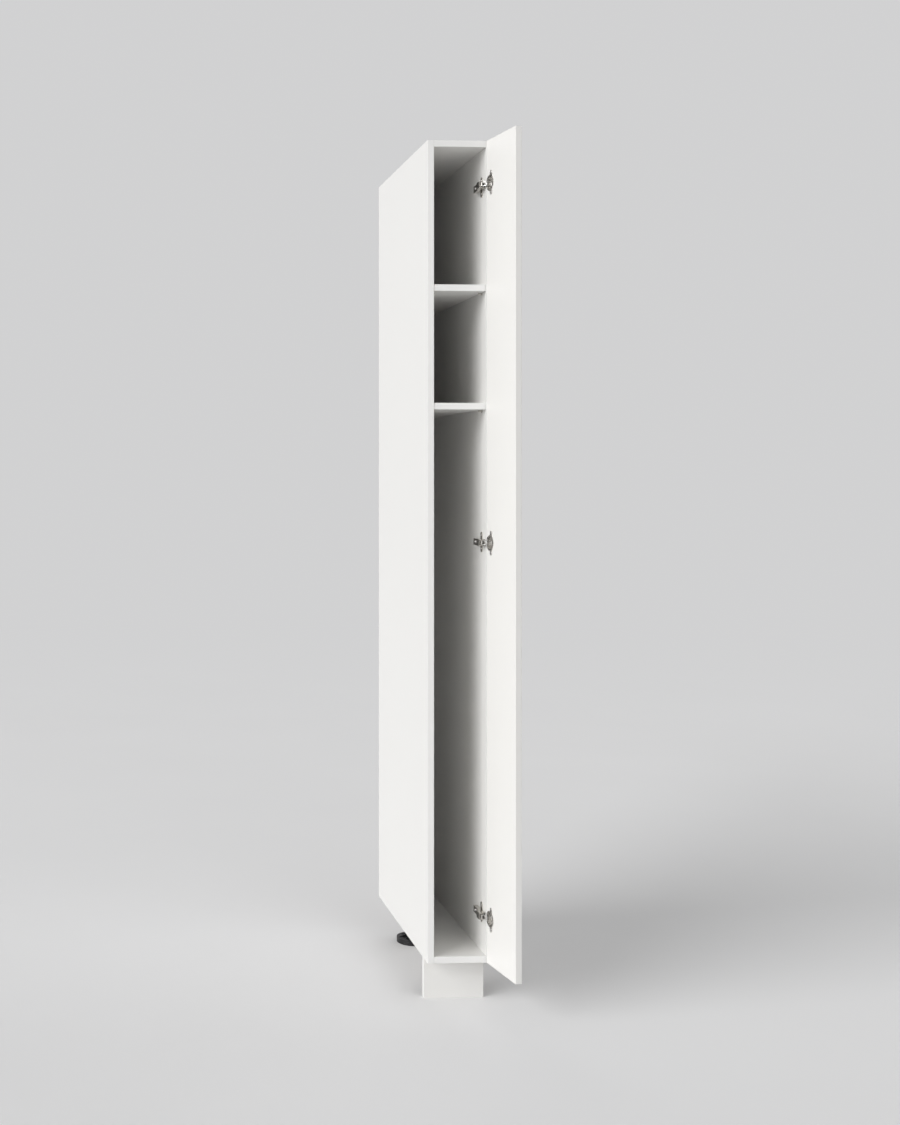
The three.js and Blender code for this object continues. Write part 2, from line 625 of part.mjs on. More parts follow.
// The mounting plate: a cross-shaped base on the side panel with a spine that fills the arm's channel.
function mountingPlate() {
  const face = INNER_RIGHT - BOARD_FIT;
  const base = INNER_RIGHT - PLATE_BASE;
  const halfWing = PLATE_WING_WIDTH / 2;
  const wings = prismX(rounded(
    PLATE_SCREWS_BACK - halfWing,
    -PLATE_WING_HALF,
    PLATE_SCREWS_BACK + halfWing,
    PLATE_WING_HALF,
    halfWing,
  ), base, face);
  const start = PLATE_SCREWS_BACK - PLATE_SPINE_AHEAD;
  const spineTop = INNER_RIGHT - ARM_LOW_CROWN + ARM_SHEET + PLATE_SEAT;
  const spineShape = rounded(
    start, -PLATE_SPINE_HALF, start + PLATE_SPINE_LENGTH, PLATE_SPINE_HALF, PLATE_SPINE_ROUND);
  const spine = prismX(spineShape, spineTop, face);
  const screws = [-PLATE_SCREW_HALF, PLATE_SCREW_HALF].map((z) =>
    barX(PLATE_SCREWS_BACK, z, PLATE_SCREW_RADIUS, base - OVERRUN, face + OVERRUN, PIN_SIDES));
  return cut(join(wings, spine), ...screws);
}

function doorPanel() {
  const outline = rounded(
    DOOR_REVEAL, DOOR_INNER_FACE - DOOR_THICKNESS, DOOR_EDGE, DOOR_INNER_FACE, EDGE_ROUND);
  const board = prismZ(
    outline, CARCASS_BOTTOM + DOOR_REVEAL, CARCASS_TOP - DOOR_REVEAL, BOARD_ARC_STEPS);
  const bores = Object.values(HINGE_HEIGHTS).map((z) => barY(
    CUP_CENTRE.x, z, CUP_RADIUS, DOOR_INNER_FACE - CUP_BORE_DEPTH, DOOR_INNER_FACE + OVERRUN, CUP_SIDES));
  return cut(board, ...bores);
}

// Plinth and legs

function plinthBoard() {
  return prismZ(
    rounded(
      PLINTH_SIDE_INSET,
      PLINTH_RECESS,
      WIDTH - PLINTH_SIDE_INSET,
      PLINTH_RECESS + PLINTH_BOARD,
      EDGE_ROUND,
    ),
    0,
    CARCASS_BOTTOM - PLINTH_TOP_GAP,
    BOARD_ARC_STEPS,
  );
}

// The clip: a base on the plinth's back, a neck, and a springy ring that snaps round the front leg.
function plinthClip() {
  const grip = COLUMN_RADIUS + CLIP_FIT;
  const outer = grip + CLIP_WALL;
  const mouth = THREE.MathUtils.degToRad(CLIP_MOUTH_DEGREES);
  const ring = new THREE.Shape();
  ring.absarc(0, 0, outer, RIGHT_ANGLE + mouth, 5 * RIGHT_ANGLE - mouth);
  ring.absarc(0, 0, grip, 5 * RIGHT_ANGLE - mouth, RIGHT_ANGLE + mouth, true);
  const plinthBack = PLINTH_RECESS + PLINTH_BOARD + BOARD_FIT - FRONT_LEG_BACK;
  const neck = rectangle(-CLIP_NECK_HALF, plinthBack, CLIP_NECK_HALF, -grip - CLIP_WALL / 2);
  const base = rectangle(-CLIP_BASE_HALF, plinthBack, CLIP_BASE_HALF, plinthBack + CLIP_BASE);
  const top = CLIP_AT + CLIP_HEIGHT;
  return join(
    prismZ(ring, CLIP_AT, top, CLIP_ARC_STEPS),
    prismZ(neck, CLIP_AT, top),
    prismZ(base, CLIP_AT, top),
  );
}

// The foot: a hollow skirt under a shallow roof with radial ribs, and a hub that runs up into the column.
function levellingFoot() {
  const skirtInner = FOOT_RADIUS - FOOT_WALL;
  const ceiling = FOOT_SKIRT - FOOT_ROOF;
  const body = revolve([
    [0, ceiling],
    [skirtInner, ceiling],
    [skirtInner, 0],
    [FOOT_RADIUS, 0],
    [FOOT_RADIUS, FOOT_SKIRT - FOOT_CHAMFER],
    [FOOT_RADIUS - FOOT_CHAMFER, FOOT_SKIRT],
    [FOOT_HUB_RADIUS, FOOT_SKIRT],
    [FOOT_HUB_RADIUS, FOOT_HUB_TOP - FOOT_CHAMFER],
    [FOOT_HUB_RADIUS - FOOT_CHAMFER, FOOT_HUB_TOP],
    [0, FOOT_HUB_TOP],
  ], LEG_SIDES);
  const root = FOOT_HUB_RADIUS - FOOT_CHAMFER;
  const tip = FOOT_RADIUS - FOOT_CHAMFER - FOOT_RIB_RISE;
  const side = new THREE.Shape([
    point(root, FOOT_SKIRT - FOOT_CHAMFER),
    point(tip, FOOT_SKIRT - FOOT_CHAMFER),
    point(tip, FOOT_SKIRT + FOOT_CHAMFER),
    point(root, FOOT_CROWN + FOOT_RIB_RISE),
  ]);
  const ribs = Array.from({ length: FOOT_RIBS }, (_, i) => solid(
    extrude(side, FOOT_RIB)
      .translate(0, 0, -FOOT_RIB / 2)
      .rotateX(RIGHT_ANGLE)
      .rotateZ(2 * Math.PI * i / FOOT_RIBS)));
  return join(body, ...ribs);
}

// The column: a tube with a turned collar, whose top plugs into the socket under the carcass.
function legColumn() {
  const top = CARCASS_BOTTOM - BOARD_FIT;
  const bore = FOOT_HUB_RADIUS + COLUMN_FIT;
  return revolve([
    [0, COLUMN_BORE_TOP],
    [bore, COLUMN_BORE_TOP],
    [bore, COLUMN_BOTTOM],
    [COLUMN_COLLAR_RADIUS, COLUMN_BOTTOM],
    [COLUMN_COLLAR_RADIUS, COLUMN_BOTTOM + COLUMN_COLLAR],
    [COLUMN_RADIUS, COLUMN_BOTTOM + COLUMN_COLLAR + COLUMN_COLLAR_RADIUS - COLUMN_RADIUS],
    [COLUMN_RADIUS, top],
    [0, top],
  ], LEG_SIDES);
}

// The socket: a round flange against the bottom panel, with a collar round the column.
function legSocket() {
  const top = CARCASS_BOTTOM - BOARD_FIT;
  const bore = COLUMN_RADIUS + COLUMN_FIT;
  const flangeLow = top - SOCKET_FLANGE;
  const low = top - SOCKET_HEIGHT;
  const body = revolve([
    [0, low],
    [bore + SOCKET_WALL, low],
    [bore + SOCKET_WALL, flangeLow - SOCKET_WALL],
    [bore + SOCKET_WALL + SOCKET_WALL, flangeLow],
    [SOCKET_FLANGE_RADIUS, flangeLow],
    [SOCKET_FLANGE_RADIUS, top],
    [0, top],
  ], LEG_SIDES);
  const passage = barZ(point(0, 0), bore, low - OVERRUN, top + OVERRUN, LEG_SIDES);
  const ringRadius = (bore + SOCKET_WALL + SOCKET_WALL + SOCKET_FLANGE_RADIUS) / 2;
  const holes = Array.from({ length: SOCKET_SCREWS }, (_, i) => {
    const turn = RIGHT_ANGLE / 2 + 2 * Math.PI * i / SOCKET_SCREWS;
    const centre = point(ringRadius * Math.cos(turn), ringRadius * Math.sin(turn));
    return barZ(centre, SOCKET_SCREW_RADIUS, flangeLow - OVERRUN, top + OVERRUN, PIN_SIDES);
  });
  return cut(body, passage, ...holes);
}

// Assembly

function addMesh(group, name, geometry, look, place = at(0, 0, 0)) {
  const mesh = new THREE.Mesh(geometry, look.clone());
  mesh.name = name;
  mesh.position.copy(place);
  group.add(mesh);
}

function addSolid(group, name, body, look, place) {
  addMesh(group, name, meshGeometry(body), look, place);
}

function addCarcass(group) {
  addSolid(group, 'side_panel_left', sidePanel(sides.left), WHITE);
  addSolid(group, 'side_panel_right', sidePanel(sides.right), WHITE);
  addSolid(group, 'top_panel', camPanel(camPanels.top), WHITE);
  addSolid(group, 'bottom_panel', camPanel(camPanels.bottom), WHITE);
  addSolid(group, 'back_panel', backPanel(), BACK_WHITE);
  for (const [panelName, panel] of Object.entries(camPanels)) {
    for (const [sideName, side] of Object.entries(sides)) {
      for (const [rowName, y] of Object.entries(camRows)) {
        addSolid(group, `cam_${panelName}_${sideName}_${rowName}`, cam(side, panel, y), ZINC);
        addSolid(group, `cam_bolt_${panelName}_${sideName}_${rowName}`, camBolt(side, panel, y), ZINC);
      }
    }
  }
}

function addShelves(group) {
  for (const [shelfName, top] of Object.entries(shelfTops)) {
    addSolid(group, `shelf_${shelfName}`, shelf(top), WHITE);
    for (const [sideName, side] of Object.entries(sides)) {
      const geometry = meshGeometry(shelfPin(side));
      for (const [rowName, y] of Object.entries(shelfPinRows)) {
        const place = at(side.inner, y, shelfPinZ(top));
        addMesh(group, `shelf_pin_${shelfName}_${sideName}_${rowName}`, geometry, NICKEL, place);
      }
    }
  }
}

function addAtHinges(group, name, geometry, look, pivot = point(0, 0)) {
  for (const [hingeName, z] of Object.entries(HINGE_HEIGHTS)) {
    addMesh(group, `hinge_${hingeName}_${name}`, geometry, look, at(-pivot.x, -pivot.y, z));
  }
}

function turnedGroup(parent, pivot, from, angle) {
  const group = new THREE.Group();
  group.position.set(pivot.x - from.x, pivot.y - from.y, 0);
  group.rotation.z = angle;
  parent.add(group);
  return group;
}

function addHingesAndDoor(group) {
  const origin = point(0, 0);
  addAtHinges(group, 'plate', meshGeometry(mountingPlate()), NICKEL);
  addAtHinges(group, 'arm', meshGeometry(hingeArm()), NICKEL);
  const outer = turnedGroup(group, OUTER_ARM_PIVOT, origin, OUTER_LINK_RATIO * DOOR_TURN);
  addAtHinges(outer, 'outer_link', meshGeometry(outerLink()), NICKEL, OUTER_ARM_PIVOT);
  const door = turnedGroup(outer, OUTER_CUP_PIVOT, OUTER_ARM_PIVOT, DOOR_TURN);
  addAtHinges(door, 'cup', meshGeometry(hingeCup()), NICKEL, OUTER_CUP_PIVOT);
  const inner = turnedGroup(door, INNER_CUP_PIVOT, OUTER_CUP_PIVOT, INNER_LINK_RATIO * DOOR_TURN);
  addAtHinges(inner, 'inner_link', meshGeometry(innerLink()), NICKEL, INNER_CUP_PIVOT);
  const shift = at(-OUTER_CUP_PIVOT.x, -OUTER_CUP_PIVOT.y, 0);
  addSolid(door, 'door_panel', doorPanel(), DOOR_WHITE, shift);
}

function addBase(group) {
  const foot = meshGeometry(levellingFoot());
  const column = meshGeometry(legColumn());
  const socket = meshGeometry(legSocket());
  for (const [name, y] of Object.entries({ front: FRONT_LEG_BACK, rear: REAR_LEG_BACK })) {
    const place = at(INNER_MIDDLE, y, 0);
    addMesh(group, `leg_socket_${name}`, socket, BLACK_PLASTIC, place);
    addMesh(group, `leg_column_${name}`, column, BLACK_PLASTIC, place);
    addMesh(group, `levelling_foot_${name}`, foot, BLACK_PLASTIC, place);
  }
  addSolid(group, 'plinth_board', plinthBoard(), WHITE);
  addSolid(group, 'plinth_clip', plinthClip(), BLACK_PLASTIC, at(INNER_MIDDLE, FRONT_LEG_BACK, 0));
}

// The origin is the middle of the underside of the box that holds the cupboard at rest.
function centreOnFloor(group) {
  const bounds = new THREE.Box3().setFromObject(group, true);
  const middle = bounds.getCenter(at(0, 0, 0));
  group.position.set(-middle.x, -middle.y, -bounds.min.z);
}

const cupboard = new THREE.Group();
addCarcass(cupboard);
addShelves(cupboard);
addHingesAndDoor(cupboard);
addBase(cupboard);
centreOnFloor(cupboard);

export default cupboard;
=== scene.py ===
import json
import math

import bmesh
import bpy
from mathutils import Matrix, Vector


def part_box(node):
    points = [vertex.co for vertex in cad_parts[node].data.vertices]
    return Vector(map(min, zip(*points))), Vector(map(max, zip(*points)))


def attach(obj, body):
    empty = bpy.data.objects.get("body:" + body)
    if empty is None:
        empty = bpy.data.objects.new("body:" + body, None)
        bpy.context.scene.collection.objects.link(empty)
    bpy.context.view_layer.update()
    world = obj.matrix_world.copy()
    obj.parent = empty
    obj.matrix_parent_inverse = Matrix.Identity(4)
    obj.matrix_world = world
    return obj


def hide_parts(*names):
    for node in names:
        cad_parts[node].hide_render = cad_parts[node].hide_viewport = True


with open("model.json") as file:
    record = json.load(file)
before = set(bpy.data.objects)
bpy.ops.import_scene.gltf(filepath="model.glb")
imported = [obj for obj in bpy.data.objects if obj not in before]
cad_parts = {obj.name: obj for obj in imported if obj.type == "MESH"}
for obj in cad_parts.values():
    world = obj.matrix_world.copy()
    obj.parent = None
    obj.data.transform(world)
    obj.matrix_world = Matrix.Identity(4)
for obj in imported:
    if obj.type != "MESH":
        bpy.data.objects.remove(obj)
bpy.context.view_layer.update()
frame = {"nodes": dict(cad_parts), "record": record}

MM = 0.001
NODES = frame["nodes"]
BODY_OF = {
    node: body
    for body, members in frame["record"]["behaviour"]["bodies"].items() for node in members
}
SLOT_OF = {part["node"]: part["material_slot"] for part in frame["record"]["subparts"]}
HINGES = ("top", "middle", "bottom")
LEGS = ("front", "rear")
LEFT = Vector((-1, 0, 0))
RIGHT = Vector((1, 0, 0))
FRONT = Vector((0, -1, 0))
REAR = Vector((0, 1, 0))
DOWN = Vector((0, 0, -1))
UP = Vector((0, 0, 1))


# Shader nodes

MIX_COLOUR_INPUTS = (6, 7)
MIX_COLOUR_OUTPUT = 2


def is_socket(value):
    return isinstance(value, bpy.types.NodeSocket)


def rgba(value):
    """A colour, or a number as a grey, at full opacity."""
    return (*value, 1) if isinstance(value, tuple) else (value, value, value, 1)


class Nodes:
    """Short calls for the nodes of one tree. A value may be a socket, which is then linked."""

    def __init__(self, tree):
        self.tree = tree

    def feed(self, socket, value):
        if is_socket(value):
            self.tree.links.new(value, socket)
        else:
            socket.default_value = value

    def node(self, kind, inputs=None, **settings):
        made = self.tree.nodes.new(kind)
        for key, value in settings.items():
            setattr(made, key, value)
        for key, value in (inputs or {}).items():
            self.feed(made.inputs[key], value)
        return made

    def math(self, kind, a, b=0.0):
        return self.node("ShaderNodeMath", {0: a, 1: b}, operation=kind).outputs[0]

    def seen_directly(self):
        """1 for a ray from the camera, and for one that a shiny or clear surface sends on."""
        path = self.node("ShaderNodeLightPath").outputs
        seen = path["Is Camera Ray"]
        for kind in ("Is Glossy Ray", "Is Transmission Ray"):
            seen = self.math("MAXIMUM", seen, path[kind])
        return seen


class Shader(Nodes):
    """A node material on object coordinates, so its scales are per metre."""

    def __init__(self, name, **fixed):
        self.material = bpy.data.materials.new(name)
        self.material.use_nodes = True
        super().__init__(self.material.node_tree)
        self.principled = self.tree.nodes["Principled BSDF"]
        for socket, value in fixed.items():
            self.principled.inputs[socket.replace("_", " ")].default_value = value
        self.coords = self.node("ShaderNodeTexCoord").outputs["Object"]

    def stretched(self, x, y, z):
        return self.node("ShaderNodeMapping", {
            "Vector": self.coords, "Scale": (x, y, z),
        }).outputs[0]

    def noise(self, scale, detail=4.0, rough=0.5, coords=None):
        return self.node("ShaderNodeTexNoise", {
            "Vector": coords or self.coords, "Scale": scale, "Detail": detail, "Roughness": rough,
        }).outputs["Fac"]

    def cells(self, scale, output, coords=None):
        return self.node("ShaderNodeTexVoronoi", {
            "Vector": coords or self.coords, "Scale": scale, "Randomness": 1.0,
        }).outputs[output]

    def vector(self, kind, a, b, output, c=None):
        inputs = {0: a, 1: b} if c is None else {0: a, 1: b, 2: c}
        return self.node("ShaderNodeVectorMath", inputs, operation=kind).outputs[output]

    def ramp(self, fac, *stops):
        """A ramp over (place, value) stops from 0 to 1. A value is a colour or a grey."""
        made = self.node("ShaderNodeValToRGB", {"Fac": fac})
        elements = made.color_ramp.elements
        while len(elements) < len(stops):
            elements.new(0.5)
        for element, (place, value) in zip(elements, stops):
            element.position = place
            element.color = rgba(value)
        return made.outputs["Color"]

    def mix(self, fac, a, b, blend="MIX"):
        made = self.node("ShaderNodeMix", {"Factor": fac}, data_type="RGBA", blend_type=blend)
        for index, value in zip(MIX_COLOUR_INPUTS, (a, b)):
            self.feed(made.inputs[index], value if is_socket(value) else rgba(value))
        return made.outputs[MIX_COLOUR_OUTPUT]

    def tinted(self, tint, *tones):
        """The tint, multiplied by each of the tones."""
        colour = tint
        for tone in tones:
            colour = self.mix(1.0, colour, tone, "MULTIPLY")
        return colour

    def bump(self, height, strength, distance, normal=None):
        inputs = {"Height": height, "Strength": strength, "Distance": distance}
        if normal is not None:
            inputs["Normal"] = normal
        return self.node("ShaderNodeBump", inputs).outputs[0]

    def finish(self, colour, roughness, normal):
        for name, value in (("Base Color", colour), ("Roughness", roughness), ("Normal", normal)):
            self.feed(self.principled.inputs[name], value)
        return self.material


# Materials

BOARD_TINT = (0.86, 0.853, 0.833)
DOOR_TINT = (0.88, 0.87, 0.845)
BAND_TINT = (0.845, 0.842, 0.828)
BACK_TINT = (0.80, 0.79, 0.77)
GLUE_TINT = (0.60, 0.56, 0.49)
NICKEL_TINT = (0.66, 0.635, 0.59)
# A lighter copy of the nickel for the cup and the links: a painted sheen, whose paler colour stands
# in for the bright reflections on them
PAINTED_SHEEN_TINT = (0.90, 0.885, 0.86)
ZINC_TINT = (0.62, 0.63, 0.63)
STEEL_TINT = (0.58, 0.57, 0.56)
BLACK_TINT = (0.011, 0.011, 0.012)
FLAKE_BROWNS = (
    (0.0, (0.27, 0.15, 0.07)), (0.35, (0.46, 0.30, 0.16)),
    (0.7, (0.60, 0.43, 0.26)), (1.0, (0.72, 0.58, 0.39)),
)
DUST_BROWNS = ((0.0, (0.42, 0.28, 0.15)), (1.0, (0.62, 0.47, 0.30)))
FIBRE_BROWNS = (
    (0.3, (0.20, 0.105, 0.05)), (0.55, (0.29, 0.165, 0.085)), (0.75, (0.38, 0.23, 0.13)),
)
BOARD_HALF = 8 * MM
FLAKE_FLATTENING = 1.6
SCUFF_GAIN = 2.2
SCUFF_LIFT = 0.006


def melamine(name, tint, rough):
    """White faced board: a pearl grain, faint specks, and the slight waves of a pressed sheet."""
    shader = Shader(name, Specular_IOR_Level=0.45)
    drift = shader.ramp(shader.noise(scale=1.3, detail=2), (0.3, 0.993), (0.7, 1.0))
    specks = shader.ramp(shader.noise(scale=520, detail=3), (0.28, 0.982), (0.6, 1.0))
    roughness = shader.ramp(
        shader.noise(scale=160, detail=4), (0.3, rough - 0.03), (0.7, rough + 0.04))
    waves = shader.bump(shader.noise(scale=7, detail=2), strength=0.05, distance=0.001)
    pearl = shader.bump(
        shader.noise(scale=1400, detail=2, rough=0.6), strength=0.10, distance=0.0001, normal=waves)
    return shader.finish(shader.tinted(tint, drift, specks), roughness, pearl)


def edge_band(name, tint):
    """A glued plastic strip on a board's edge, a little smoother than the board's faces."""
    shader = Shader(name, Specular_IOR_Level=0.5)
    drift = shader.ramp(shader.noise(scale=14, detail=3), (0.3, 0.985), (0.7, 1.0))
    roughness = shader.ramp(shader.noise(scale=240, detail=3), (0.3, 0.32), (0.7, 0.4))
    scraped = shader.noise(
        scale=1, detail=3, rough=0.6, coords=shader.stretched(900, 900, 30))
    return shader.finish(
        shader.tinted(tint, drift), roughness, shader.bump(scraped, strength=0.08, distance=0.0001))


def glue_line(name, tint):
    """The thin seam between a board's face and its edge strip."""
    shader = Shader(name, Specular_IOR_Level=0.3)
    breaks = shader.ramp(shader.noise(scale=90, detail=4), (0.35, 0.82), (0.65, 1.15))
    return shader.finish(
        shader.tinted(tint, breaks),
        shader.ramp(shader.noise(scale=300, detail=2), (0.3, 0.5), (0.7, 0.7)),
        shader.bump(shader.noise(scale=600, detail=2), strength=0.2, distance=0.0001))


def chipboard(name, across, middle):
    """A cut edge: coarse flakes in the board's core, fine dust towards both of its faces.

    across points through the board, and middle is the place of the board's core along it.
    """
    shader = Shader(name, Specular_IOR_Level=0.2)
    depth = shader.vector("DOT_PRODUCT", shader.coords, tuple(across), "Value")
    flattened = shader.vector(
        "MULTIPLY_ADD", tuple(across * FLAKE_FLATTENING), depth, "Vector", shader.coords)
    off = shader.math("ABSOLUTE", shader.math("SUBTRACT", depth, middle))
    skin = shader.ramp(shader.math("DIVIDE", off, BOARD_HALF), (0.55, 0.0), (0.8, 1.0))
    core = shader.ramp(shader.cells(scale=310, output="Color", coords=flattened), *FLAKE_BROWNS)
    dust = shader.ramp(shader.cells(scale=900, output="Color", coords=flattened), *DUST_BROWNS)
    gaps = shader.ramp(
        shader.noise(scale=700, detail=3, rough=0.6, coords=flattened), (0.36, 0.4), (0.48, 1.0))
    crumbs = shader.noise(scale=650, detail=5, rough=0.7, coords=flattened)
    return shader.finish(
        shader.tinted(shader.mix(skin, core, dust), gaps),
        shader.ramp(gaps, (0.0, 0.95), (1.0, 0.82)),
        shader.bump(crumbs, strength=0.8, distance=0.0006))


def hardboard(name):
    """The rear face of the thin back board: brown pressed fibre with the mesh of the press."""
    shader = Shader(name, Specular_IOR_Level=0.3)
    fibre = shader.noise(scale=420, detail=6, rough=0.7, coords=shader.stretched(1, 1, 0.35))
    patches = shader.ramp(shader.noise(scale=3, detail=3), (0.3, 0.88), (0.7, 1.0))
    return shader.finish(
        shader.tinted(shader.ramp(fibre, *FIBRE_BROWNS), patches),
        shader.ramp(fibre, (0.3, 0.72), (0.7, 0.86)),
        shader.bump(
            shader.cells(scale=850, output="Distance"), strength=0.35, distance=0.0003))


def plated(name, tint, rough, grain):
    """Plated steel: a bright skin with fine rolling marks and slightly duller patches."""
    shader = Shader(name, Metallic=1.0)
    lines = shader.noise(scale=1, detail=3, rough=0.6, coords=shader.stretched(2600, 2600, 240))
    patches = shader.noise(scale=260, detail=4)
    tone = shader.ramp(patches, (0.3, 0.86), (0.75, 1.0))
    roughness = shader.ramp(patches, (0.3, rough - 0.05), (0.7, rough + 0.08))
    return shader.finish(
        shader.tinted(tint, tone), roughness, shader.bump(lines, grain, distance=0.00006))


def moulded(name, tint, rough):
    """Moulded plastic: a fine eroded grain, and paler scuffs here and there."""
    shader = Shader(name, Specular_IOR_Level=0.45)
    grain = shader.noise(scale=1300, detail=3, rough=0.65)
    scuff = shader.ramp(shader.noise(scale=90, detail=5, rough=0.7), (0.56, 0.0), (0.78, 1.0))
    pale = tuple(SCUFF_GAIN * channel + SCUFF_LIFT for channel in tint)
    roughness = shader.ramp(grain, (0.3, rough - 0.06), (0.7, rough + 0.1))
    return shader.finish(
        shader.mix(scuff, tint, pale), roughness,
        shader.bump(grain, strength=0.25, distance=0.0001))


WHITE = melamine("board_face", BOARD_TINT, rough=0.42)
DOOR_WHITE = melamine("door_face", DOOR_TINT, rough=0.38)
BACK_WHITE = melamine("back_face", BACK_TINT, rough=0.5)
BAND = edge_band("edge_band", BAND_TINT)
DOOR_BAND = edge_band("door_edge_band", DOOR_TINT)
GLUE = glue_line("glue_line", GLUE_TINT)
FIBRE = hardboard("back_fibre")
NICKEL = plated("nickel", NICKEL_TINT, rough=0.17, grain=0.05)
# The same plated steel as the plate and arm, painted lighter as a painted sheen for the cup and
# links
NICKEL_PAINTED_SHEEN = plated("nickel_painted_sheen", PAINTED_SHEEN_TINT, rough=0.24, grain=0.05)
ZINC = plated("zinc", ZINC_TINT, rough=0.36, grain=0.12)
STEEL = plated("screw_steel", STEEL_TINT, rough=0.24, grain=0.03)
BLACK = moulded("black_plastic", BLACK_TINT, rough=0.42)
SLOT_LOOKS = {"nickel": NICKEL, "zinc": ZINC, "black_plastic": BLACK}


# Pieces. The widths of broken edges are in mm.

MERGE = 2e-6
FLAT_ANGLE = math.radians(0.4)
BEVEL_LIMIT = math.radians(32)
BEVEL_SEGMENTS = 2
BEVEL_WELD = 0.01 * MM
SMOOTH_LIMIT = math.radians(34)
CURVE_STEPS = 3
CURVE_SHARE = 2.2


def with_modifiers(mesh, add_modifiers):
    """The mesh after the modifiers that add_modifiers puts on its holder."""
    holder = bpy.data.objects.new("making", mesh)
    bpy.context.scene.collection.objects.link(holder)
    add_modifiers(holder)
    graph = bpy.context.evaluated_depsgraph_get()
    made = bpy.data.meshes.new_from_object(holder.evaluated_get(graph))
    bpy.data.objects.remove(holder)
    return made


def add_normals_and_triangles(holder):
    """Large faces stay flat up to their bevels, and the mesh is cut into the triangles it is drawn
    with.
    """
    normals = holder.modifiers.new("normals", "WEIGHTED_NORMAL")
    normals.mode = "FACE_AREA"
    normals.keep_sharp = True
    triangles = holder.modifiers.new("triangles", "TRIANGULATE")
    triangles.quad_method = "BEAUTY"
    triangles.ngon_method = "BEAUTY"
    triangles.keep_custom_normals = True


def add_piece(name, mesh, body, looks, replaced=()):
    for look in looks:
        mesh.materials.append(look)
    mesh.shade_smooth()
    mesh.set_sharp_from_angle(angle=SMOOTH_LIMIT)
    mesh = with_modifiers(mesh, add_normals_and_triangles)
    mesh.name = name + "_mesh"
    piece = bpy.data.objects.new(name, mesh)
    bpy.context.scene.collection.objects.link(piece)
    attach(piece, body)
    if replaced:
        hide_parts(*replaced)


def stand_in(node, mesh, looks):
    """Puts a finished mesh in the place of a CAD node, on the same body."""
    add_piece(node + "_piece", mesh, BODY_OF[node], looks, (node,))


def to_mesh(bm):
    bmesh.ops.recalc_face_normals(bm, faces=bm.faces)
    mesh = bpy.data.meshes.new("making")
    bm.to_mesh(mesh)
    bm.free()
    return mesh


def joined(parts):
    whole = bmesh.new()
    for part in parts:
        mesh = to_mesh(part)
        whole.from_mesh(mesh)
        bpy.data.meshes.remove(mesh)
    return to_mesh(whole)


def placed(mesh, x, y, z=0):
    mesh = mesh.copy()
    mesh.transform(Matrix.Translation((x, y, z)))
    return mesh


def join_flats(bm):
    """Joins neighbouring faces that lie in one plane and have one look."""
    bmesh.ops.dissolve_limit(
        bm, angle_limit=FLAT_ANGLE, verts=bm.verts, edges=bm.edges, use_dissolve_boundaries=False,
        delimit={"MATERIAL"})


def rejoin_flats(bm):
    """Cuts the flats anew, so that the cuts between an outline and its holes lie elsewhere."""
    bmesh.ops.triangulate(bm, faces=bm.faces, quad_method="BEAUTY", ngon_method="BEAUTY")
    join_flats(bm)


def flat_mesh(node):
    """A CAD node's faces, joined into flats."""
    bm = bmesh.new()
    bm.from_mesh(NODES[node].data)
    bmesh.ops.remove_doubles(bm, verts=bm.verts, dist=MERGE)
    join_flats(bm)
    bmesh.ops.recalc_face_normals(bm, faces=bm.faces)
    return bm


def bevelled(mesh, width, limit="ANGLE"):
    """The mesh with broken edges: its sharp ones, or its weighted ones where limit is WEIGHT."""
    def add_bevel(holder):
        bevel = holder.modifiers.new("edges", "BEVEL")
        bevel.width = width * MM
        bevel.segments = BEVEL_SEGMENTS
        bevel.limit_method = limit
        bevel.angle_limit = BEVEL_LIMIT
        bevel.miter_outer = "MITER_ARC"
        weld = holder.modifiers.new("ends", "WELD")
        weld.mode = "CONNECTED"
        weld.merge_threshold = BEVEL_WELD
    return with_modifiers(mesh, add_bevel)


def finely_broken(node, width, rejoins=0):
    """The CAD node's own form with broken edges."""
    bm = flat_mesh(node)
    for _ in range(rejoins):
        rejoin_flats(bm)
    return bevelled(to_mesh(bm), width)


def rounded(points, radius):
    """The points of an open outline with each inner corner turned into a short curve."""
    made = [points[0]]
    for before, corner, after in zip(points, points[1:], points[2:]):
        here = Vector(corner)
        back = Vector(before) - here
        ahead = Vector(after) - here
        reach = min(radius, back.length / CURVE_SHARE, ahead.length / CURVE_SHARE)
        start = here + back.normalized() * reach
        end = here + ahead.normalized() * reach
        for step in range(CURVE_STEPS + 1):
            share = step / CURVE_STEPS
            bend = start.lerp(here, share).lerp(here.lerp(end, share), share)
            made.append(tuple(bend))
    made.append(points[-1])
    return made


def turned(profile, sides, shape=None, ring=False):
    """A body turned about +Z from (radius, height) pairs in mm. shape may move each of its points.

    The profile starts and ends on the axis, or closes on itself where ring is true.
    """
    bm = bmesh.new()
    rows = []
    for radius, height in profile:
        count = sides if radius else 1
        row = []
        for index in range(count):
            turn = 2 * math.pi * index / sides
            r, z = shape(radius, height, turn) if shape else (radius, height)
            row.append(bm.verts.new((r * math.cos(turn) * MM, r * math.sin(turn) * MM, z * MM)))
        rows.append(row)
    following = rows[1:] + (rows[:1] if ring else [])
    for low, high in zip(rows, following):
        for index in range(sides):
            after = index + 1
            corners = [row[place % len(row)] for row, place in (
                (low, index), (low, after), (high, after), (high, index))]
            bm.faces.new(list(dict.fromkeys(corners)))
    return bm


# Boards: faces, strips on the shown edges, and chipboard on the others and in every groove and bore

BAND_THICKNESS = 1 * MM
GLUE_THICKNESS = 0.12 * MM
SEAM_MERGE = 0.1 * MM
SEAM_TOLERANCE = 1e-7
CUT_DEPTH = 0.6 * MM
FACING = 0.9
FACE, STRIP, SEAM, RAW = range(4)
WHITE_SIDE, BROWN_SIDE = range(2)
BOARD_BEVEL = 0.35
BACK_BEVEL = 0.25


def extent(bm, direction):
    return max(vert.co.dot(direction) for vert in bm.verts)


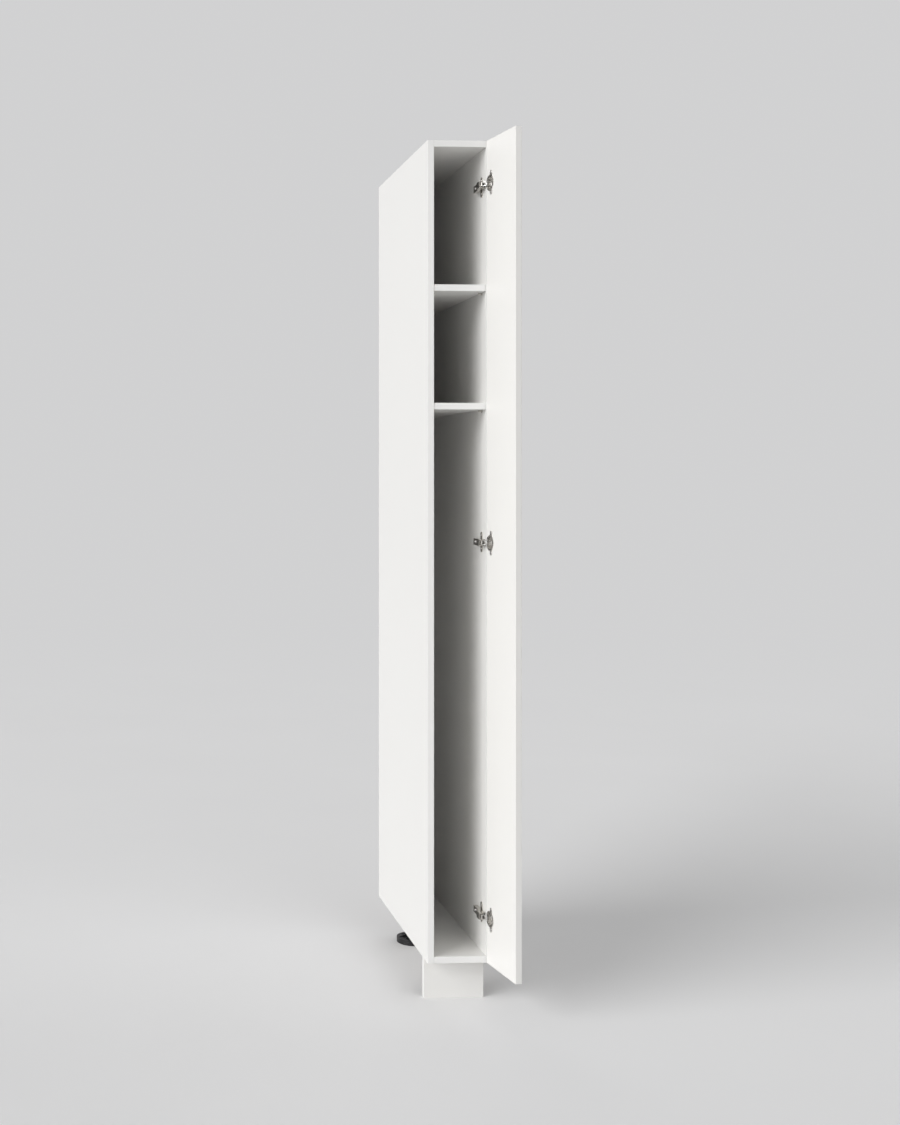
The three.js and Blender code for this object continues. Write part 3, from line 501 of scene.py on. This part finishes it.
def inside_cuts(bm, axes):
    """The faces in the board's grooves and bores, which lie on none of its sides."""
    sides = [(axis, extent(bm, axis)) for axis in (*axes, *(-axis for axis in axes))]
    return {
        face for face in bm.faces
        if all(face.calc_center_median().dot(axis) < edge - CUT_DEPTH for axis, edge in sides)
    }


def mark_raw_faces(bm, axes, raw_directions):
    """Chipboard shows on the raw edges, and inside every groove and bore."""
    inside = inside_cuts(bm, axes)
    for face in bm.faces:
        if face in inside or any(face.normal.dot(way) > FACING for way in raw_directions):
            face.material_index = RAW


def add_edge_strips(bm, directions):
    """Cuts the seam of each edge strip into the board and marks the faces of strip and seam."""
    for direction in directions:
        edge = extent(bm, direction)
        seam = edge - BAND_THICKNESS
        for place in (seam, seam - GLUE_THICKNESS):
            everything = bm.verts[:] + bm.edges[:] + bm.faces[:]
            bmesh.ops.bisect_plane(
                bm, geom=everything, plane_co=direction * place, plane_no=direction,
                dist=SEAM_TOLERANCE)
        for face in bm.faces:
            middle = face.calc_center_median().dot(direction)
            if middle > seam:
                face.material_index = STRIP
            elif middle > seam - GLUE_THICKNESS and face.material_index == FACE:
                face.material_index = SEAM


def clear_corners(bm):
    """Merges the stray points beside the seams' ends, which would hold the bevels back."""
    bmesh.ops.remove_doubles(bm, verts=bm.verts, dist=SEAM_MERGE)
    rejoin_flats(bm)


def mark_outer_edges(bm, axes):
    """The edges between the board's sides are broken, and those of its grooves and bores aren't."""
    inside = inside_cuts(bm, axes)
    weights = bm.edges.layers.float.new("bevel_weight_edge")
    for edge in bm.edges:
        outer = not any(face in inside for face in edge.link_faces)
        edge[weights] = 1 if outer and edge.calc_face_angle() > BEVEL_LIMIT else 0


def board(node, face_look, strip_look, strips, raw=(), across=RIGHT, axes=(RIGHT, REAR, UP)):
    """A board with strips and raw edges towards the given sides. across points through it."""
    bm = flat_mesh(node)
    middle = (extent(bm, across) - extent(bm, -across)) / 2
    mark_raw_faces(bm, axes, raw)
    add_edge_strips(bm, strips)
    clear_corners(bm)
    mark_outer_edges(bm, axes)
    chips = chipboard(node + "_chips", across, middle)
    made = bevelled(to_mesh(bm), BOARD_BEVEL, limit="WEIGHT")
    stand_in(node, made, [face_look, strip_look, GLUE, chips])


def door_axes():
    """The open door's own axes: out of its inner face, and from its hinge edge to its free edge."""
    faces = NODES["door_panel"].data.polygons
    inward = max(faces, key=lambda face: face.area).normal.copy()
    if inward.x > 0:
        inward.negate()
    along = inward.cross(UP).normalized()
    if along.y > 0:
        along.negate()
    return inward, along


DOOR_INWARD, DOOR_ALONG = door_axes()


def add_boards():
    for side in ("left", "right"):
        board("side_panel_" + side, WHITE, BAND, [FRONT], [REAR, UP, DOWN])
    for panel in ("top_panel", "bottom_panel"):
        board(panel, WHITE, BAND, [FRONT], [REAR], across=UP)
    for shelf in ("shelf_upper", "shelf_lower"):
        board(shelf, WHITE, BAND, [FRONT, REAR, LEFT, RIGHT], across=UP)
    board("plinth_board", WHITE, BAND, [LEFT, RIGHT], [UP, DOWN], across=REAR)
    board(
        "door_panel", DOOR_WHITE, DOOR_BAND, [DOOR_ALONG, -DOOR_ALONG, UP, DOWN],
        across=DOOR_INWARD, axes=(DOOR_INWARD, DOOR_ALONG, UP))


def add_back():
    """The thin back board is white towards the shelves and brown behind."""
    bm = flat_mesh("back_panel")
    for face in bm.faces:
        face.material_index = BROWN_SIDE if face.normal.dot(FRONT) < FACING else WHITE_SIDE
    stand_in("back_panel", bevelled(to_mesh(bm), BACK_BEVEL), [BACK_WHITE, FIBRE])


# Screws. A screw's head is its radius and height in mm, and the rest are shares of these.

HEAD_SIDES = 32
PLATE_SCREW = (3.6, 1.7)
CUP_SCREW = (3.4, 1.4)
ARM_SCREW = (4.1, 2.2)
ADJUSTER = (2.9, 0.9)
SOCKET_SCREW = (3.8, 1.9)
HEAD_PROFILE = (
    (0, 0), (1, 0), (1, 0.3), (0.96, 0.55), (0.86, 0.8), (0.7, 0.94), (0.61, 1), (0.3, 1),
    (0.12, 1), (0, 1),
)
RECESS_REACH = 0.62
RECESS_DEPTH = 0.6
RECESS_ABOVE = 0.8
RECESS_DEGREES = 1


def screw_head(radius, height, place, outwards):
    """A pan head with a cross recess. Its seat is at place and its top faces outwards."""
    def cross(r, z, turn):
        quarter = math.degrees(turn) % 90
        in_arm = r == 0 or min(quarter, 90 - quarter) < RECESS_DEGREES
        if in_arm and z > RECESS_ABOVE * height and r < RECESS_REACH * radius:
            return r, z - RECESS_DEPTH * height
        return r, z

    bm = turned([(r * radius, z * height) for r, z in HEAD_PROFILE], HEAD_SIDES, cross)
    turn = Vector(outwards).to_track_quat("Z", "Y").to_matrix().to_4x4()
    bm.transform(Matrix.Translation(place) @ turn)
    return bm


# Hinges. Places are in mm from the side's inner face, the arm's nose and the door's edge.

PLATE_BASE = 2
PLATE_SCREWS_BACK = 37
PLATE_SCREW_HALF = 16
ARM_LOW_CROWN = 12.2
ARM_SCREW_BACK = 52.7
ADJUSTER_BACK = 38.2
CUP_LUG_ALONG = 26.5
CUP_LUG_HALF = 24
CUP_RIM = 1.5
CUP_EASING = 0.12
HINGE_BEVEL = 0.12

# Each part's look, and how often its flats are rejoined so that its bevels stay wide and unfolded
HINGE_PARTS = {
    "plate": (NICKEL, 0),
    "arm": (NICKEL, 0),
    # The links and the cup take the lighter nickel with the painted sheen
    "outer_link": (NICKEL_PAINTED_SHEEN, 0),
    "inner_link": (NICKEL_PAINTED_SHEEN, 1),
    "cup": (NICKEL_PAINTED_SHEEN, 2),
}

SIDE_FACE, CARCASS_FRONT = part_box("side_panel_right")[0][:2]
DOOR_EDGE = min(vert.co.dot(DOOR_ALONG) for vert in NODES["door_panel"].data.vertices)
DOOR_FACE = max(vert.co.dot(DOOR_INWARD) for vert in NODES["door_panel"].data.vertices)


def middle_height(node):
    low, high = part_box(node)
    return (low[2] + high[2]) / 2


def on_side(out, back, height):
    """A place in mm in front of the right side's inner face and behind the carcass's front."""
    return Vector((SIDE_FACE - out * MM, CARCASS_FRONT + back * MM, height))


def on_door(along, out, height):
    """A place in mm from the door's hinge edge and in front of its inner face."""
    return (
        DOOR_ALONG * (DOOR_EDGE + along * MM) + DOOR_INWARD * (DOOR_FACE + out * MM) + UP * height)


def ease_cup(mesh):
    """Draws the cup's mouth to the hinge edge, clear of the inner link on the wide open door."""
    places = [vert.co.dot(DOOR_ALONG) for vert in mesh.vertices]
    near, far = min(places), max(places)
    for vert, place in zip(mesh.vertices, places):
        vert.co -= DOOR_ALONG * CUP_EASING * MM * (far - place) / (far - near)


def add_hinge_parts():
    """The hinges are alike, so the bottom one's parts are copied to the others."""
    low = middle_height("hinge_bottom_plate")
    for part, (look, rejoins) in HINGE_PARTS.items():
        made = finely_broken("hinge_bottom_" + part, HINGE_BEVEL, rejoins)
        if part == "cup":
            ease_cup(made)
        for name in HINGES:
            raised = middle_height(f"hinge_{name}_plate") - low
            stand_in(f"hinge_{name}_{part}", placed(made, 0, 0, raised), [look])


def add_hinge_screws(name):
    height = middle_height(f"hinge_{name}_plate")
    nose = (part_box(f"hinge_{name}_arm")[0][1] - CARCASS_FRONT) / MM
    side_heads = []
    door_heads = []
    for way in (-1, 1):
        plate_lug = on_side(PLATE_BASE, PLATE_SCREWS_BACK, height + way * PLATE_SCREW_HALF * MM)
        cup_lug = on_door(CUP_LUG_ALONG, CUP_RIM, height + way * CUP_LUG_HALF * MM)
        side_heads.append(screw_head(*PLATE_SCREW, plate_lug, LEFT))
        door_heads.append(screw_head(*CUP_SCREW, cup_lug, DOOR_INWARD))
    for size, back in ((ARM_SCREW, ARM_SCREW_BACK), (ADJUSTER, ADJUSTER_BACK)):
        side_heads.append(screw_head(*size, on_side(ARM_LOW_CROWN, nose + back, height), LEFT))
    add_piece(f"hinge_{name}_side_screws", joined(side_heads), "carcass", [STEEL])
    add_piece(f"hinge_{name}_door_screws", joined(door_heads), "door", [STEEL])


# Small fittings, by the starts of their nodes' names

FITTING_BEVELS = {"cam": 0.15, "shelf_pin": 0.2, "plinth_clip": 0.4}


def add_fittings():
    for node in NODES:
        for start, width in FITTING_BEVELS.items():
            if node.startswith(start):
                stand_in(node, finely_broken(node, width), [SLOT_LOOKS[SLOT_OF[node]]])


# Legs, turned with more sides than the plain solids. All sizes are in mm, with heights from the
# floor, and profiles are (radius, height) pairs.

LEG_SIDES = 72
COLUMN_SIDES = 2 * LEG_SIDES
CORNER = 0.7

HUB_RADIUS = 13
THREAD_LOW = 17
THREAD_HIGH = 56
THREAD_PITCH = 4
THREAD_DEPTH = 0.9
THREAD_ROWS_PER_PITCH = 8
THREAD_CREST = 0.3
THREAD_FLANK = 0.4
FOOT_UNDERSIDE = ((0, 11), (41, 11), (41, 0))
FOOT_RIM = ((44, 0), (44, 14))
FOOT_ROOF_GROOVE = ((39.8, 14), (39.8, 13), (38, 13), (38, 14))
HUB_FOOT = ((HUB_RADIUS + 1.5, 14), (HUB_RADIUS, 16))
HUB_END = ((HUB_RADIUS - 1.5, 58), (0, 58))
RIB_COUNT = 8
RIB_HALF = 1.2
RIB_OUTLINE = ((12.2, 13), (37, 13), (37, 15.2), (12.2, 22.6))
RIB_BEVEL = 0.5

COLLAR_RADIUS = 20
FLUTE_COUNT = 18
FLUTE_DEPTH = 0.7
COLUMN_BORE = ((0, 72), (13.3, 72), (13.3, 30))
COLLAR_UNDERSIDE = ((18.6, 30), (19.3, 30.6))
COLLAR_GRIP = ((COLLAR_RADIUS, 31.4), (COLLAR_RADIUS, 34), (COLLAR_RADIUS, 37.2))
COLLAR_SHOULDER = ((19.2, 38.4), (17, 41))
COLUMN_SHAFT = ((17, 60), (17, 105.95), (0, 105.95))

SOCKET_WALL = ((17.3, 105.95), (17.3, 83.95), (21.3, 83.95))
SOCKET_FLANGE = ((21.3, 98.95), (25.3, 102.95), (38, 102.95), (38, 105.95), (17.3, 105.95))
SOCKET_SCREW_RING = 31.65
SOCKET_UNDERSIDE = 102.95


def thread(radius, height, turn):
    """Cuts a coarse rounded thread into the hub."""
    if radius != HUB_RADIUS or not THREAD_LOW < height < THREAD_HIGH:
        return radius, height
    phase = (height / THREAD_PITCH - turn / (2 * math.pi)) % 1
    valley = min(1, max(0, (abs(2 * phase - 1) - THREAD_CREST) / THREAD_FLANK))
    run_out = min(1, (height - THREAD_LOW) / THREAD_PITCH, (THREAD_HIGH - height) / THREAD_PITCH)
    return radius - THREAD_DEPTH * valley * run_out, height


def foot_ribs():
    """Radial ribs on the foot's roof, each a thin wedge that falls towards the rim."""
    bm = bmesh.new()
    for index in range(RIB_COUNT):
        turn = Matrix.Rotation(2 * math.pi * index / RIB_COUNT, 3, "Z")
        rows = [
            [bm.verts.new(turn @ Vector((r * MM, way * RIB_HALF * MM, z * MM)))
             for r, z in RIB_OUTLINE]
            for way in (-1, 1)
        ]
        bm.faces.new(rows[0])
        bm.faces.new(reversed(rows[1]))
        for corner in range(len(RIB_OUTLINE)):
            after = (corner + 1) % len(RIB_OUTLINE)
            bm.faces.new((rows[0][corner], rows[0][after], rows[1][after], rows[1][corner]))
    return bevelled(to_mesh(bm), RIB_BEVEL)


def foot_mesh():
    profile = rounded([*FOOT_UNDERSIDE, *FOOT_RIM, *FOOT_ROOF_GROOVE, *HUB_FOOT], CORNER)
    rows = round((THREAD_HIGH - THREAD_LOW) / THREAD_PITCH * THREAD_ROWS_PER_PITCH)
    step = (THREAD_HIGH - THREAD_LOW) / rows
    profile += [(HUB_RADIUS, THREAD_LOW + step * row) for row in range(rows + 1)]
    profile += HUB_END
    body = to_mesh(turned(profile, LEG_SIDES, thread))
    ribs = bpy.data.objects.new("ribs", foot_ribs())

    def add_union(holder):
        union = holder.modifiers.new("ribs", "BOOLEAN")
        union.operation = "UNION"
        union.solver = "EXACT"
        union.object = ribs

    made = with_modifiers(body, add_union)
    bpy.data.objects.remove(ribs)
    return made


def fluted(radius, height, turn):
    """Grips for the fingers round the collar of the column."""
    if radius != COLLAR_RADIUS:
        return radius, height
    return radius - FLUTE_DEPTH * max(0, math.cos(FLUTE_COUNT * turn)), height


def column_mesh():
    profile = rounded([*COLUMN_BORE, *COLLAR_UNDERSIDE], CORNER)
    profile += [*COLLAR_GRIP, *COLLAR_SHOULDER, *COLUMN_SHAFT]
    return to_mesh(turned(profile, COLUMN_SIDES, fluted))


def socket_mesh():
    wall = rounded([*SOCKET_WALL, *SOCKET_FLANGE], CORNER)
    return to_mesh(turned(wall[:-1], LEG_SIDES, ring=True))


def add_socket_screws(leg, x, y):
    heads = []
    for quarter in range(4):
        turn = math.pi / 4 + quarter * math.pi / 2
        across = Vector((math.cos(turn), math.sin(turn), 0)) * SOCKET_SCREW_RING * MM
        place = Vector((x, y, SOCKET_UNDERSIDE * MM)) + across
        heads.append(screw_head(*SOCKET_SCREW, place, DOWN))
    add_piece(f"leg_socket_{leg}_screws", joined(heads), "carcass", [STEEL])


def add_legs():
    """The legs are alike, so each of their meshes is made once."""
    meshes = {
        "levelling_foot": foot_mesh(), "leg_column": column_mesh(), "leg_socket": socket_mesh(),
    }
    for leg in LEGS:
        low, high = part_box("leg_column_" + leg)
        x, y = (low[0] + high[0]) / 2, (low[1] + high[1]) / 2
        for part, mesh in meshes.items():
            stand_in(f"{part}_{leg}", placed(mesh, x, y), [BLACK])
        add_socket_screws(leg, x, y)


# Stage, light and camera, in metres and degrees

BACKGROUND = (0.64, 0.64, 0.645)
FLOOR_COLOUR = (0.86, 0.86, 0.865)
FLOOR_HALF = 60
FADE_START = 2.2
FADE_END = 9.0
WORLD_LIGHT = 0.30
# Each lamp's direction, spread and strength
LAMPS = {
    "key": ((-3.2, -1.95, 1.5), 42, 2.22),
    "ceiling": ((-0.5, -0.8, 3.0), 70, 0.45),
    "rear": ((3.0, 1.6, 1.5), 60, 0.5),
}
CAMERA_PLACE = (-0.93843, -3.73606, 1.28303)
CAMERA_TURN = (90, 0, -3)
CAMERA_SHIFT = (0.2618, -0.0743)
CAMERA_REACH = 200
SENSOR_WIDTH = 36
LENS = 46.9946


def floor_material():
    """A pale matt floor that turns into the plain background far from the cupboard."""
    shader = Shader("floor_pale", Specular_IOR_Level=0.0)
    stain = shader.ramp(shader.noise(scale=1.1, detail=3), (0.3, 0.985), (0.7, 1.0))
    rough = shader.ramp(shader.noise(scale=3, detail=3), (0.3, 0.66), (0.7, 0.74))
    grain = shader.bump(shader.noise(scale=260, detail=3), strength=0.03, distance=0.0002)
    shader.finish(shader.tinted(FLOOR_COLOUR, stain), rough, grain)
    distance = shader.node(
        "ShaderNodeVectorMath", {0: shader.coords}, operation="LENGTH").outputs["Value"]
    fade = shader.node("ShaderNodeMapRange", {
        "Value": distance, "From Min": FADE_START, "From Max": FADE_END,
    }, interpolation_type="SMOOTHSTEP").outputs["Result"]
    plain = shader.node("ShaderNodeEmission", {"Color": rgba(BACKGROUND)}).outputs[0]
    blend = shader.node("ShaderNodeMixShader", {
        0: shader.math("MULTIPLY", fade, shader.seen_directly()),
        1: shader.principled.outputs[0], 2: plain}).outputs[0]
    shader.feed(shader.tree.nodes["Material Output"].inputs["Surface"], blend)
    return shader.material


def make_stage():
    bm = bmesh.new()
    bmesh.ops.create_grid(bm, x_segments=2, y_segments=2, size=FLOOR_HALF)
    mesh = bpy.data.meshes.new("floor")
    bm.to_mesh(mesh)
    bm.free()
    mesh.materials.append(floor_material())
    floor = bpy.data.objects.new("floor", mesh)
    bpy.context.scene.collection.objects.link(floor)


def make_world():
    """Even light from all round, with the pale background in its place where it is seen."""
    world = bpy.data.worlds.new("studio")
    bpy.context.scene.world = world
    world.use_nodes = True
    nodes = Nodes(world.node_tree)
    light = nodes.tree.nodes["Background"]
    nodes.feed(light.inputs["Color"], rgba(1))
    nodes.feed(light.inputs["Strength"], WORLD_LIGHT)
    plain = nodes.node("ShaderNodeBackground", {"Color": rgba(BACKGROUND)})
    blend = nodes.node("ShaderNodeMixShader", {
        0: nodes.seen_directly(), 1: light.outputs[0], 2: plain.outputs[0]}).outputs[0]
    nodes.feed(nodes.tree.nodes["World Output"].inputs["Surface"], blend)


def add_lamps():
    """Far soft lamps: their light is even over the whole cupboard and the floor."""
    for name, (coming_from, spread, strength) in LAMPS.items():
        data = bpy.data.lights.new(name, "SUN")
        data.angle = math.radians(spread)
        data.energy = strength
        lamp = bpy.data.objects.new(name, data)
        lamp.location = coming_from
        lamp.rotation_euler = Vector(coming_from).to_track_quat("Z", "Y").to_euler()
        bpy.context.scene.collection.objects.link(lamp)


def make_camera():
    """The photograph's viewpoint: level, left of the cupboard and a little above its middle."""
    data = bpy.data.cameras.new("camera")
    data.sensor_width = SENSOR_WIDTH
    data.lens = LENS
    data.shift_x, data.shift_y = CAMERA_SHIFT
    data.clip_end = CAMERA_REACH
    camera = bpy.data.objects.new("camera", data)
    camera.location = CAMERA_PLACE
    camera.rotation_euler = tuple(math.radians(turn) for turn in CAMERA_TURN)
    bpy.context.scene.collection.objects.link(camera)
    bpy.context.scene.camera = camera


add_boards()
add_back()
add_hinge_parts()
for hinge in HINGES:
    add_hinge_screws(hinge)
add_fittings()
add_legs()
make_stage()
make_world()
add_lamps()
make_camera()
bpy.context.scene.view_settings.view_transform = "Standard"
